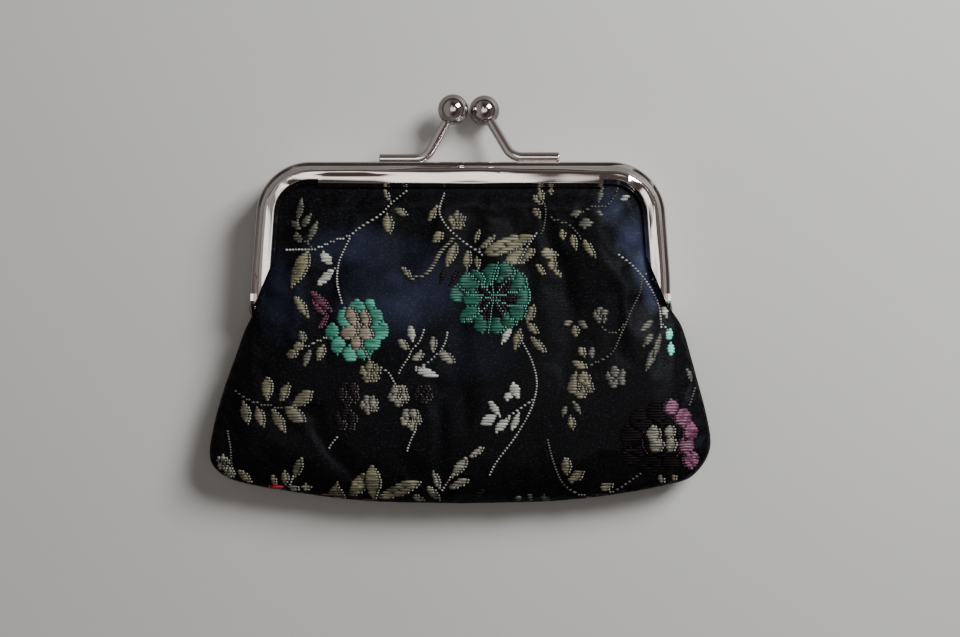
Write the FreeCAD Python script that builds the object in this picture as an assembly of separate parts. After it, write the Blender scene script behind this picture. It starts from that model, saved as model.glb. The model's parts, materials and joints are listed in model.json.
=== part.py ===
import FreeCAD, Part
import math
import os

# Kiss-lock coin purse, closed and lying on its back, in millimetres.
# X runs across the purse, Y from the bag's bottom to the clasp, Z up from the surface it lies on.
# The origin is the middle of the outer box's underside.
# Two stamped channel frames, front and back, turn on one line of two rivets. A lined brocade bag is
# glued and corded into the channels. Plane work uses points (x, y); a "rise" is a height from the
# middle plane between the two frames, towards the front (+Z) or the back (-Z).

Vector = FreeCAD.Vector

# Driving dimensions
PURSE_LENGTH = 83.4                      # bag bottom to the top of the clasp balls
FRAME_WIDTH = 85.0                       # outside the webs at the hinge
HINGE_FROM_BOTTOM = 39.7
FRAME_TOP_FROM_HINGE = 29.75
FRAME_HALF_DEPTH = 5.35                  # middle plane to a frame's outer face
FRAME_GAP = 0.15                         # middle plane to a frame's inner flange
SHEET = 0.6                              # frame sheet metal

HINGE_Y = HINGE_FROM_BOTTOM - PURSE_LENGTH / 2
FRAME_TOP_Y = HINGE_Y + FRAME_TOP_FROM_HINGE
MIDDLE_Z = FRAME_HALF_DEPTH
WEB_X = FRAME_WIDTH / 2
FRONT, BACK = 1, -1
RIGHT, LEFT = 1, -1

# Channel frame
CORNER_X = 40.7                          # where the arm's and the top bar's lines would meet
CORNER_RADIUS = 11.0
FLARE_RADIUS = 60.0
STRAIGHT_ARM = 5.5                       # upright stretch of arm above the hinge
TOP_FLANGE, TOP_LIP = 5.2, 1.0           # flange width and rolled lip radius, top bar
SIDE_FLANGE, SIDE_LIP = 4.6, 1.2         # the same, corners and arms
INNER_FLANGE = 4.4
TOP_BAR_HALF = 28.8                      # the deeper flange of the top bar ends here
EDGE_RUN, EDGE_DROP = 1.6, 1.3           # the slope that joins the web to the outer flange
EDGE_CREST_RADIUS, EDGE_FOOT_RADIUS = 2.4, 0.7
FLANGE_FALL = 0.2                        # the outer flange leans in towards the bag by this much
TAPER_TOP_Y = HINGE_Y + 10.4             # the outer flange narrows from here to the hinge
WEB_END_Y = HINGE_Y + 1.0
INNER_FLANGE_END_Y = HINGE_Y + 5.8

# Hinge: the front frame's lugs run outside the back frame's
LUG_RADIUS = 2.7
LUG_CLEARANCE = 0.1
RIVET_RADIUS = 0.9
RIVET_RUNNING_CLEARANCE = 0.05
RIVET_HEAD_RADIUS, RIVET_HEAD_HEIGHT = 1.6, 0.65
RIVET_TAIL_RADIUS, RIVET_TAIL_HEIGHT = 1.4, 0.5

# Clasp: one bent rod and one ball on each frame; each ball leans across the middle plane
CLASP_X = 1.6                            # the clasp sits a little right of the frame's middle
ROD_RADIUS = 1.0
ROD_FOOT_END = 18.4
ROD_BEND_X = 8.8
ROD_BEND_RADIUS = 3.5
BALL_RADIUS = 3.1
BALL_X = 3.175                           # the balls pass each other 0.15 mm apart
FOOT_RISE = 2.6
BALL_RISE = 1.2
BALL_Y = PURSE_LENGTH / 2 - BALL_RADIUS
ROD_IN_BALL = 1.5
SOLDER_FILM = 0.05
SOLDER_HALF_WIDTH = 0.85
SOLDER_HEIGHT = 0.6

# Bag: brocade, interlining and lining, each a layer of the same pillow. The pouch is the wide part
# below the hinge; the neck is the part between the arms. Right-hand outline corners and their radii.
PANEL_INSET = 2.6                        # frame outline to the fabric's edge in the channel
POUCH_RIGHT = [
    (0, HINGE_Y - 44.28),
    (51.7, HINGE_Y - 34.1),
    (48.8, HINGE_Y - 14.6),
    (44.2, HINGE_Y - 4.6),
]
POUCH_RADII = [235.0, 4.2, 45.0, 2.0]
NECK_RIGHT = [
    (WEB_X - PANEL_INSET, HINGE_Y - 26),
    (WEB_X - PANEL_INSET, HINGE_Y + STRAIGHT_ARM),
    (CORNER_X - PANEL_INSET, FRAME_TOP_Y - PANEL_INSET),
]
NECK_RADII = [1.0, FLARE_RADIUS, CORNER_RADIUS - PANEL_INSET]
BROCADE, INTERLINING, LINING = 0.5, 0.9, 0.3
FRONT_RISE = [(0, 0), (0, 1.4), (2.7, 3.9), (5.5, 5.4), (9, 6.3)]    # depth from the edge, rise
BACK_RISE = [(0, 0), (0, 1.4), (2.7, 3.9), (6.5, FRAME_HALF_DEPTH)]
PLATEAU = 40.0                           # how far a pillow's flat middle is carried for offsetting
CHANNEL_RISE = 0.9                       # inside the frame the fabric keeps this far off the middle
SPLIT_Y = HINGE_Y + 0.3                  # fabric above this turns with the front frame
FOLD_GAP = 0.05
FOLD_END_Y = HINGE_Y - 7.5               # fabric between these two folds as the purse opens
THREAD_RADIUS = 0.1

# Channel filling
CORD_RADIUS = 0.85
CORD_INSET = 1.6
CORD_RISE = 2.75
GLUE_THICKNESS = 0.14
GLUE_RISE = (1.3, 3.6)
FAR = 200.0


# ---- plane geometry ----

def unit(vector):
    return Vector(vector).normalize()


def rounded_wire(corners, radii, closed=False):
    """Straight runs through the corners, joined by tangent arcs.

    Where a run is too short for the arcs at its two ends, both arcs are eased to fit it.
    """
    count = len(corners)
    reaches, halves = [0.0] * count, [0.0] * count
    for i, radius in enumerate(radii):
        if radius and (closed or 0 < i < count - 1):
            back = unit(corners[i - 1] - corners[i])
            onward = unit(corners[(i + 1) % count] - corners[i])
            halves[i] = back.getAngle(onward) / 2
            reaches[i] = radius / math.tan(halves[i])
    eased = list(reaches)
    for i in range(count if closed else count - 1):
        j = (i + 1) % count
        room = 0.96 * corners[i].distanceToPoint(corners[j])
        wanted = reaches[i] + reaches[j]
        if wanted > room:
            eased[i] = min(eased[i], reaches[i] * room / wanted)
            eased[j] = min(eased[j], reaches[j] * room / wanted)
    stations = []
    for i, corner in enumerate(corners):
        if not eased[i]:
            stations.append((corner,))
            continue
        back = unit(corners[i - 1] - corner)
        onward = unit(corners[(i + 1) % count] - corner)
        radius = eased[i] * math.tan(halves[i])
        middle = corner + unit(back + onward) * (radius / math.sin(halves[i]) - radius)
        stations.append((corner + back * eased[i], middle, corner + onward * eased[i]))
    edges = []
    for i, station in enumerate(stations):
        if len(station) == 3:
            edges.append(Part.Arc(*station).toShape())
        if i == count - 1 and not closed:
            break
        start, end = station[-1], stations[(i + 1) % count][0]
        if start.distanceToPoint(end) > 1e-6:
            edges.append(Part.LineSegment(start, end).toShape())
    return Part.Wire(edges)


def offset_line(points, distance, closed=True):
    """The points moved to the left of their direction of travel by a distance, mitred."""
    count = len(points)
    moved = []
    for i, (x, y) in enumerate(points):
        sides = []
        for a, b in ((i - 1, i), (i, i + 1)):
            if closed or (a >= 0 and b < count):
                (ax, ay), (bx, by) = points[a % count], points[b % count]
                length = math.hypot(bx - ax, by - ay)
                sides.append((-(by - ay) / length, (bx - ax) / length))
        nx, ny = sides[0] if len(sides) == 1 else (sides[0][0] + sides[1][0], sides[0][1] + sides[1][1])
        scale = distance / (nx * sides[0][0] + ny * sides[0][1])
        moved.append((x + nx * scale, y + ny * scale))
    return moved


def mirrored(points):
    """Right-hand outline points, then the same ones mirrored to the left in reverse order."""
    return points + [(-x, y) for x, y in reversed(points) if x]


def box_between(low, high):
    size = [b - a for a, b in zip(low, high)]
    return Part.makeBox(*size, Vector(*low))


def prism(points, z_low, z_high):
    """A plane outline of straight sides, extruded from z_low to z_high."""
    corners = [Vector(x, y, z_low) for x, y in points]
    face = Part.Face(Part.makePolygon(corners + corners[:1]))
    return face.extrude(Vector(0, 0, z_high - z_low))


def mirror_x(shape):
    return shape.mirror(Vector(0, 0, 0), Vector(1, 0, 0))


def mirror_middle(shape):
    """A front-frame shape, mirrored through the middle plane for the back frame."""
    return shape.mirror(Vector(0, 0, MIDDLE_Z), Vector(0, 0, 1))


# ---- channel frames ----

def arm_corners(inset, end_y):
    """Right half of the frame's outline from the hinge end to the corner, set in by inset."""
    return [
        (WEB_X - inset, end_y),
        (WEB_X - inset, HINGE_Y + STRAIGHT_ARM),
        (CORNER_X - inset, FRAME_TOP_Y - inset),
    ]


def channel_face(flange, lip, x):
    """The channel's section at x on the top bar: web up, flanges reaching down towards the bag."""
    outer, brim = FRAME_HALF_DEPTH, FRAME_HALF_DEPTH - FLANGE_FALL
    outside = [
        (INNER_FLANGE, FRAME_GAP, 0),
        (0, FRAME_GAP, SHEET),
        (0, outer - EDGE_DROP, EDGE_FOOT_RADIUS),
        (EDGE_RUN, outer, EDGE_CREST_RADIUS),
        (flange, brim, lip),
        (flange, brim - lip, 0),
    ]
    inside = offset_line([(depth, rise) for depth, rise, _ in outside], -SHEET, closed=False)
    line = outside + [
        (depth, rise, max(radius - SHEET, 0)) for (depth, rise), (_, _, radius) in zip(inside, outside)
    ][::-1]
    corners = [Vector(x, FRAME_TOP_Y - depth, MIDDLE_Z + rise) for depth, rise, _ in line]
    return Part.Face(rounded_wire(corners, [radius for _, _, radius in line], closed=True))


def channel_side():
    """The right corner and arm, from the end of the top bar to just above the hinge."""
    corners = [Vector(x, y, MIDDLE_Z) for x, y in arm_corners(0, WEB_END_Y)]
    path = rounded_wire(
        [Vector(TOP_BAR_HALF, FRAME_TOP_Y, MIDDLE_Z)] + corners[::-1],
        [0, CORNER_RADIUS, FLARE_RADIUS, 0],
    )
    section = channel_face(SIDE_FLANGE, SIDE_LIP, TOP_BAR_HALF).OuterWire
    side = path.makePipeShell([section], True, False)
    taper_x = WEB_X - SIDE_FLANGE - 0.2
    outer_taper = prism(
        [(taper_x, TAPER_TOP_Y), (WEB_X - SHEET - 0.3, WEB_END_Y), (WEB_X - SHEET - 0.3, HINGE_Y - 5),
         (0, HINGE_Y - 5), (0, TAPER_TOP_Y)],
        MIDDLE_Z + 2, MIDDLE_Z + FRAME_HALF_DEPTH + 1,
    )
    web_inside = WEB_X - SHEET
    inner_taper = prism(
        [(taper_x, TAPER_TOP_Y), (web_inside, INNER_FLANGE_END_Y), (web_inside, HINGE_Y - 5),
         (0, HINGE_Y - 5), (0, TAPER_TOP_Y)],
        MIDDLE_Z - 1, MIDDLE_Z + 2,
    )
    return side.cut(outer_taper).cut(inner_taper)


def channel_half():
    """The front channel without its lugs."""
    top_bar = channel_face(TOP_FLANGE, TOP_LIP, -TOP_BAR_HALF).extrude(Vector(2 * TOP_BAR_HALF, 0, 0))
    side = channel_side()
    return top_bar.fuse([side, mirror_x(side)]).removeSplitter()


def hinge_disc(radius, x, thickness):
    return Part.makeCylinder(radius, thickness, Vector(x, HINGE_Y, MIDDLE_Z), Vector(1, 0, 0))


def lug_plate(x, top_y, side):
    """A right-hand lug: a disc about the hinge line and the tongue that joins it to the web."""
    outer = MIDDLE_Z + side * (FRAME_HALF_DEPTH - 0.5)
    inner = MIDDLE_Z + side * FRAME_GAP
    tangent = MIDDLE_Z + side * (LUG_RADIUS - 0.15)
    outline = [
        (HINGE_Y - 0.8, tangent), (HINGE_Y + 1.6, outer), (top_y, outer), (top_y, inner), (HINGE_Y, MIDDLE_Z),
    ]
    corners = [Vector(x, y, z) for y, z in outline]
    tongue = Part.Face(Part.makePolygon(corners + corners[:1])).extrude(Vector(SHEET, 0, 0))
    return tongue.fuse(hinge_disc(LUG_RADIUS, x, SHEET))


def front_frame():
    half = channel_half()
    lug = lug_plate(WEB_X - SHEET, HINGE_Y + 3, FRONT)
    lug = lug.cut(hinge_disc(RIVET_RADIUS + RIVET_RUNNING_CLEARANCE, WEB_X - 2, 4))
    return half.fuse([lug, mirror_x(lug)]).removeSplitter()


def back_frame():
    """As the front frame, with each lug set inward on a joggle, inside the front frame's lug."""
    half = mirror_middle(channel_half())
    relief = hinge_disc(LUG_RADIUS + 0.2, WEB_X - SHEET - LUG_CLEARANCE / 2, 4)
    half = half.cut([relief, mirror_x(relief)])
    plate_x = WEB_X - 2 * SHEET - LUG_CLEARANCE
    plate = lug_plate(plate_x, HINGE_Y + 5.4, BACK)
    joggle = box_between(
        (plate_x + SHEET / 2, HINGE_Y + 3.2, MIDDLE_Z - FRAME_HALF_DEPTH + 0.9),
        (WEB_X - SHEET / 2, HINGE_Y + 5.4, MIDDLE_Z - FRAME_GAP - 0.05),
    )
    lug = plate.fuse(joggle).cut(hinge_disc(RIVET_RADIUS, plate_x - 1, 3))
    return half.fuse([lug, mirror_x(lug)]).removeSplitter()


def rivet(side):
    """Domed head outside, upset tail inside. The front lug turns on the shank."""
    tail_x = WEB_X - 2 * SHEET - LUG_CLEARANCE
    head_x = WEB_X + 0.05
    shank = hinge_disc(RIVET_RADIUS, tail_x - RIVET_TAIL_HEIGHT, head_x - tail_x + RIVET_TAIL_HEIGHT + 0.1)
    tail = hinge_disc(RIVET_TAIL_RADIUS, tail_x - RIVET_TAIL_HEIGHT, RIVET_TAIL_HEIGHT)
    dome_radius = (RIVET_HEAD_RADIUS ** 2 + RIVET_HEAD_HEIGHT ** 2) / (2 * RIVET_HEAD_HEIGHT)
    dome = Part.makeSphere(dome_radius, Vector(head_x + RIVET_HEAD_HEIGHT - dome_radius, HINGE_Y, MIDDLE_Z))
    head = dome.common(hinge_disc(dome_radius, head_x, RIVET_HEAD_HEIGHT + 1))
    solid = shank.fuse([tail, head]).removeSplitter()
    return solid if side == RIGHT else mirror_x(solid)


# ---- clasp ----

def rod_stations(frame):
    """Foot end, bend and ball centre of one rod. The front frame's rod is the right-hand one."""
    x_side = RIGHT if frame == FRONT else LEFT
    foot_y = FRAME_TOP_Y + ROD_RADIUS + SOLDER_FILM
    foot_z = MIDDLE_Z + frame * FOOT_RISE
    ball = Vector(CLASP_X + x_side * BALL_X, BALL_Y, MIDDLE_Z - frame * BALL_RISE)
    return (
        Vector(CLASP_X + x_side * ROD_FOOT_END, foot_y, foot_z),
        Vector(CLASP_X + x_side * ROD_BEND_X, foot_y, foot_z),
        ball,
    )


def clasp_rod(frame):
    foot, bend, ball = rod_stations(frame)
    end = ball + (bend - ball).normalize() * ROD_IN_BALL
    path = rounded_wire([foot, bend, end], [0, ROD_BEND_RADIUS, 0])
    circle = Part.Wire(Part.makeCircle(ROD_RADIUS, foot, bend - foot))
    rod = path.makePipeShell([circle], True, False)
    rounding = [edge for edge in rod.Edges if edge.CenterOfMass.distanceToPoint(foot) < 0.01]
    return rod.makeFillet(0.2, rounding)


def clasp_ball(frame, rod):
    return Part.makeSphere(BALL_RADIUS, rod_stations(frame)[2]).cut(rod)


def clasp_solder(frame, rod):
    """The fillet of solder between a rod's foot and the top of its frame."""
    foot, bend, _ = rod_stations(frame)
    ends = sorted((foot.x - math.copysign(0.6, foot.x), bend.x + math.copysign(1.2, foot.x)))
    strip = box_between(
        (ends[0], FRAME_TOP_Y, foot.z - SOLDER_HALF_WIDTH),
        (ends[1], FRAME_TOP_Y + SOLDER_HEIGHT, foot.z + SOLDER_HALF_WIDTH),
    )
    slope = SOLDER_HALF_WIDTH * 1.6
    for side in (FRONT, BACK):
        edge_z = foot.z + side * SOLDER_HALF_WIDTH
        bevel = Part.makeCylinder(
            slope / 2, FAR, Vector(-FAR / 2, FRAME_TOP_Y + SOLDER_HEIGHT, edge_z), Vector(1, 0, 0)
        )
        strip = strip.cut(bevel)
    return strip.cut(rod)


# ---- bag ----

def bag_wire(corners, radii, inset, z):
    """A closed outline set in by inset, at height z."""
    points = offset_line(mirrored(corners), inset)
    both = radii + (radii[:0:-1] if corners[0][0] == 0 else radii[::-1])
    return rounded_wire([Vector(x, y, z) for x, y in points], both, closed=True)


def pillow(corners, radii, rise_profile, thickness, side):
    """The solid between the middle plane and one face of the bag, less a thickness off that face."""
    carried = rise_profile + [(PLATEAU, rise_profile[-1][1])]
    shrunk = offset_line(carried, -thickness, closed=False)[:-1]
    shrunk[0] = (shrunk[1][0], 0)
    wires = [bag_wire(corners, radii, depth, MIDDLE_Z + side * rise) for depth, rise in shrunk]
    return Part.makeLoft(wires, True, True)


def bag_body(rise_profile, thickness, side):
    """The pouch below the hinge joined to the narrower part that runs up between the arms."""
    pouch = pillow(POUCH_RIGHT, POUCH_RADII, rise_profile, thickness, side)
    neck = pillow(NECK_RIGHT, NECK_RADII, rise_profile, thickness, side)
    return pouch.fuse(neck)


def bag_layers(rise_profile, side):
    """Brocade, interlining and lining of one side of the bag, nested in one another."""
    depths = [0, BROCADE, BROCADE + INTERLINING, BROCADE + INTERLINING + LINING]
    bodies = [bag_body(rise_profile, depth, side) for depth in depths]
    return [outer.cut(inner) for outer, inner in zip(bodies, bodies[1:])]


def slab(y_low, y_high, rise_low=-FAR, rise_high=FAR):
    return box_between((-FAR, y_low, MIDDLE_Z + rise_low), (FAR, y_high, MIDDLE_Z + rise_high))


def front_pieces(layer):
    """A front layer as the part in the frame, the band that folds, and the part below."""
    upper = layer.common(slab(SPLIT_Y, FAR, CHANNEL_RISE, FAR))
    fold = layer.common(slab(FOLD_END_Y, SPLIT_Y - FOLD_GAP))
    lower = layer.common(slab(-FAR, FOLD_END_Y))
    return upper, fold, lower


def back_piece(layer):
    """A back layer, kept clear of the middle plane inside the frame."""
    return layer.cut(slab(SPLIT_Y, FAR, -CHANNEL_RISE, CHANNEL_RISE))


def seam_thread(inset):
    """The thread of one seam, round the pouch's sides and bottom in the middle plane."""
    points = offset_line(mirrored(POUCH_RIGHT), inset)
    right = points[1:4]
    top = right[-1]
    share = (FOLD_END_Y - 0.5 - right[1][1]) / (top[1] - right[1][1])
    start = (right[1][0] + (top[0] - right[1][0]) * share, FOLD_END_Y - 0.5)
    run = [start, right[1], right[0]]
    full = run + [points[0]] + [(-x, y) for x, y in reversed(run)]
    radii = [0, POUCH_RADII[2], POUCH_RADII[1] - inset, POUCH_RADII[0]]
    corners = [Vector(x, y, MIDDLE_Z) for x, y in full]
    circle = Part.Wire(Part.makeCircle(THREAD_RADIUS, corners[0], corners[1] - corners[0]))
    return rounded_wire(corners, radii + radii[2::-1]).makePipeShell([circle], True, False)


# ---- channel filling ----

def channel_path(inset, rise):
    """Round the inside of the channel from one arm to the other, above the tapers."""
    flare_y = HINGE_Y + STRAIGHT_ARM
    share = (TAPER_TOP_Y - flare_y) / (FRAME_TOP_Y - inset - flare_y)
    start_x = WEB_X - inset + (CORNER_X - WEB_X) * share
    right = [(start_x, TAPER_TOP_Y), (CORNER_X - inset, FRAME_TOP_Y - inset)]
    corners = [Vector(x, y, MIDDLE_Z + rise) for x, y in mirrored(right)]
    radius = CORNER_RADIUS - inset
    return rounded_wire(corners, [0, radius, radius, 0])


def paper_cord():
    path = channel_path(CORD_INSET, CORD_RISE)
    start = path.Edges[0].firstVertex().Point
    circle = Part.Wire(Part.makeCircle(CORD_RADIUS, start, path.Edges[0].tangentAt(0)))
    return path.makePipeShell([circle], True, False)


def channel_glue():
    """The skin of glue between the cord and the channel's web."""
    inset = SHEET + GLUE_THICKNESS / 2
    path = channel_path(inset, GLUE_RISE[0])
    start = path.Edges[0].firstVertex().Point
    along = path.Edges[0].tangentAt(0)
    across = Vector(-along.y, along.x, 0) * (GLUE_THICKNESS / 2)
    up = Vector(0, 0, GLUE_RISE[1] - GLUE_RISE[0])
    ring = [start + across, start - across, start - across + up, start + across + up, start + across]
    return path.makePipeShell([Part.makePolygon(ring)], True, False)


# ---- pieces ----

def make_pieces():
    pieces = {}
    for name, frame in (("front", FRONT), ("back", BACK)):
        rod = clasp_rod(frame)
        pieces[name + "_clasp_arm"] = rod
        pieces[name + "_clasp_ball"] = clasp_ball(frame, rod)
        pieces[name + "_clasp_solder"] = clasp_solder(frame, rod)
    pieces["front_frame"] = front_frame()
    pieces["back_frame"] = back_frame()
    pieces["left_hinge_rivet"] = rivet(LEFT)
    pieces["right_hinge_rivet"] = rivet(RIGHT)
    pieces["front_paper_cord"] = paper_cord()
    pieces["back_paper_cord"] = mirror_middle(paper_cord())
    pieces["front_channel_glue"] = channel_glue()
    pieces["back_channel_glue"] = mirror_middle(channel_glue())
    threads = [seam_thread(BROCADE / 2), seam_thread(BROCADE + INTERLINING + LINING / 2)]
    pieces["outer_seam_thread"], pieces["lining_seam_thread"] = threads
    names = ("brocade", "interlining", "lining")
    for name, layer in zip(names, bag_layers(FRONT_RISE, FRONT)):
        upper, fold, lower = front_pieces(layer)
        pieces["front_%s_upper" % name] = upper
        pieces["front_%s_fold" % name] = fold
        pieces["front_%s_lower" % name] = lower.cut(threads)
    for name, layer in zip(names, bag_layers(BACK_RISE, BACK)):
        pieces["back_" + name] = back_piece(layer).cut(threads)
    return pieces


os.makedirs("parts", exist_ok=True)
for node, shape in make_pieces().items():
    if len(shape.Solids) != 1:
        raise ValueError("%s has %d solids" % (node, len(shape.Solids)))
    shape.Solids[0].exportStep("parts/%s.step" % node)
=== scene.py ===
import json
import math
import random
import bpy
import numpy as np
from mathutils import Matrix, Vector, geometry, noise
from mathutils.bvhtree import BVHTree


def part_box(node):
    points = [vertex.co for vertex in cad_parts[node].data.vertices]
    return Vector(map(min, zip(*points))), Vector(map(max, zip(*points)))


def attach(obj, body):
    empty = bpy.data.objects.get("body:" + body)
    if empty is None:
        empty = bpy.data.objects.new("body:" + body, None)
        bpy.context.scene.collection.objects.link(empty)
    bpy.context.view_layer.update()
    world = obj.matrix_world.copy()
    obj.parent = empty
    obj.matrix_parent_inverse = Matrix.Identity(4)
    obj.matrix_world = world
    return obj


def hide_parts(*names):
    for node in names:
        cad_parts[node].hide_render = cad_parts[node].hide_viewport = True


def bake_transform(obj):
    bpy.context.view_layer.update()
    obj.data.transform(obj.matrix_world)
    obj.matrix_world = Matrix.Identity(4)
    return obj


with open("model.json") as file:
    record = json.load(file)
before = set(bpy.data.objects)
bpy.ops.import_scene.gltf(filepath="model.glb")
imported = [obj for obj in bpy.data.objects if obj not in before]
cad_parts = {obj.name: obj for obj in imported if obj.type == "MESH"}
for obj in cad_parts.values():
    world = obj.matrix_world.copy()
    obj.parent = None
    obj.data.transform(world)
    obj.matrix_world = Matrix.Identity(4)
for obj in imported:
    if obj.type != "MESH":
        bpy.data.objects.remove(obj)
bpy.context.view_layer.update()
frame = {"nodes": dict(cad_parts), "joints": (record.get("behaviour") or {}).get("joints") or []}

# Kiss-lock coin purse of floral brocade. The metal, cords and glue are the CAD nodes with new
# materials. The bag's cloth is built here: padded brocade covers, a lining, seam stitches, and the
# woven motif, whose every weft float is a small raised strand.
# Scene lengths are in metres. Design points and sizes are in millimetres, measured from the middle of
# the hinge line: x to the right, y towards the clasp, and "rise" out from the middle plane between the
# two frames.

MM = 0.001
HINGE = Vector(frame["joints"][0]["pos_m"])
FRAME_LOW, FRAME_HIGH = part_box("front_frame")
FRAME_CENTRE_X = (FRAME_LOW.x + FRAME_HIGH.x) / 2
FRAME_TOP = (FRAME_HIGH.y - HINGE.y) / MM
FRAME_RISE = (FRAME_HIGH.z - HINGE.z) / MM
BAG_BOTTOM = (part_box("back_brocade")[0].y - HINGE.y) / MM
TABLE_RISE = -(HINGE.z / MM)
FRONT, BACK = 1, -1
random.seed(11)


# ---- shared helpers ----

def smooth(t):
    t = np.clip(t, 0, 1)
    return t * t * (3 - 2 * t)


def place(x, y, rise):
    """A design point in the scene."""
    return Vector((FRAME_CENTRE_X + x * MM, HINGE.y + y * MM, HINGE.z + rise * MM))


def between(a, b, start, end, t):
    """The value at t on the line from a at start to b at end."""
    return (end - t) / (end - start) * a + (t - start) / (end - start) * b


def curve_through(points, spacing):
    """Evenly spaced points along a centripetal Catmull-Rom curve through the given ones."""
    pts = [np.array(p, float) for p in points]
    pts = [2 * pts[0] - pts[1]] + pts + [2 * pts[-1] - pts[-2]]
    fine = []
    for p0, p1, p2, p3 in zip(pts, pts[1:], pts[2:], pts[3:]):
        t1 = np.linalg.norm(p1 - p0) ** 0.5
        t2 = t1 + np.linalg.norm(p2 - p1) ** 0.5
        t3 = t2 + np.linalg.norm(p3 - p2) ** 0.5
        for t in np.linspace(t1, t2, 24, endpoint=False):
            middle = between(p1, p2, t1, t2, t)
            before = between(between(p0, p1, 0, t1, t), middle, 0, t2, t)
            after = between(middle, between(p2, p3, t2, t3, t), t1, t3, t)
            fine.append(between(before, after, t1, t2, t))
    fine = np.array(fine + [pts[-2]])
    along = np.concatenate([[0], np.cumsum(np.linalg.norm(np.diff(fine, axis=0), axis=1))])
    stops = np.linspace(0, along[-1], max(2, round(along[-1] / spacing) + 1))
    return np.stack([np.interp(stops, along, fine[:, k]) for k in range(fine.shape[1])], axis=1)


def add_object(name, data):
    obj = bpy.data.objects.new(name, data)
    bpy.context.scene.collection.objects.link(obj)
    return obj


def add_mesh(name, vertices, faces):
    mesh = bpy.data.meshes.new(name)
    mesh.from_pydata([tuple(v) for v in vertices], [], [tuple(f) for f in faces])
    return add_object(name, mesh)


def new_piece(name, vertices, faces, material):
    obj = add_mesh(name, vertices, faces)
    obj.data.validate()
    obj.data.shade_smooth()
    obj.data.materials.append(material)
    return obj


def gaps(points, edge):
    """The distance in plan from every point to every edge point."""
    return np.linalg.norm(points[:, None, :2] - edge[None, :, :2], axis=2)


# ---- materials ----

METAL_RELIEF = 0.0015  # depth of the metal's relief at a height of 1
WAVE_UNIT = math.pi / 10  # a band texture of this scale repeats once in its unit of length
GROUND_PITCH = 0.27  # spacing of the ground's fine weft lines
# half-depth of the painted-sheen patches
PATCH_HALF_DEPTH = 60


class Graph:
    """A node tree with short calls for adding and linking nodes."""

    def __init__(self, tree):
        self.tree = tree

    def add(self, kind, inputs=None, **settings):
        node = self.tree.nodes.new(kind)
        for key, value in settings.items():
            setattr(node, key, value)
        for key, value in (inputs or {}).items():
            self.set(node, key, value)
        return node

    def set(self, node, key, value):
        socket = node.inputs[key]
        if isinstance(value, bpy.types.NodeSocket):
            self.tree.links.new(value, socket)
        else:
            socket.default_value = (*value, 1) if socket.type == "RGBA" else value

    def math(self, operation, *values, clamp=False):
        node = self.add("ShaderNodeMath", dict(enumerate(values)), operation=operation, use_clamp=clamp)
        return node.outputs[0]

    def mix(self, factor, a, b):
        return self.add("ShaderNodeMix", {0: factor, 6: a, 7: b}, data_type="RGBA").outputs[2]

    def parts(self, vector):
        return self.add("ShaderNodeSeparateXYZ", {0: vector}).outputs

    def spread(self, value, low, high, to_low=0.0, to_high=1.0):
        inputs = {"Value": value, "From Min": low, "From Max": high, "To Min": to_low, "To Max": to_high}
        return self.add("ShaderNodeMapRange", inputs).outputs["Result"]


class Nodes(Graph):
    """A material's nodes, on the object's own coordinates."""

    def __init__(self, name):
        self.material = bpy.data.materials.new(name)
        self.material.use_nodes = True
        super().__init__(self.material.node_tree)
        self.shader = self.tree.nodes["Principled BSDF"]

    def coordinates(self, scale=(1, 1, 1), shift=(0, 0, 0)):
        source = self.add("ShaderNodeTexCoord").outputs["Object"]
        inputs = {"Vector": source, "Location": shift, "Scale": scale}
        return self.add("ShaderNodeMapping", inputs).outputs["Vector"]

    def noise(self, scale, detail=2.0, stretch=(1, 1, 1), rough=0.5):
        inputs = {"Vector": self.coordinates(stretch), "Scale": scale, "Detail": detail, "Roughness": rough}
        return self.add("ShaderNodeTexNoise", inputs).outputs["Fac"]

    def bands(self, scale, direction, distortion, detail, **more):
        inputs = {"Vector": self.coordinates(), "Scale": scale, "Distortion": distortion, "Detail": detail}
        node = self.add("ShaderNodeTexWave", inputs | more, wave_type="BANDS", bands_direction=direction)
        return node.outputs["Fac"]

    def finish(self, colour, roughness, height=None, depth=0.0001, **direct):
        self.set(self.shader, "Base Color", colour)
        self.set(self.shader, "Roughness", roughness)
        if height is not None:
            bump = self.add("ShaderNodeBump", {"Height": height, "Distance": depth, "Strength": 1.0})
            self.set(self.shader, "Normal", bump.outputs["Normal"])
        for key, value in direct.items():
            self.set(self.shader, key.replace("_", " "), value)
        return self.material


def nickel(name, tone, dull, swell):
    """Bright nickel plate with smears, fine lines and pits. Swell is the unevenness of its flat faces."""
    n = Nodes(name)
    smears = n.noise(90, 4, (1, 1.6, 1), 0.6)
    lines = n.noise(900, 2, (0.15, 2.5, 2.5))
    pits = n.spread(n.noise(2600, 1), 0.72, 0.80)
    warm = (tone[0] * 0.92, tone[1] * 0.87, tone[2] * 0.85)
    colour = n.mix(n.spread(smears, 0.35, 0.7), tone, warm)
    rough = n.math("ADD", n.spread(smears, 0.3, 0.75, dull, dull + 0.06), n.math("MULTIPLY", pits, 0.15))
    fine = n.math("SUBTRACT", n.math("MULTIPLY", lines, 0.15), pits)
    height = n.math("ADD", n.math("MULTIPLY", fine, 0.003), pressed_waves(n, swell))
    return n.finish(colour, rough, height, METAL_RELIEF, Metallic=1.0)


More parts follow.
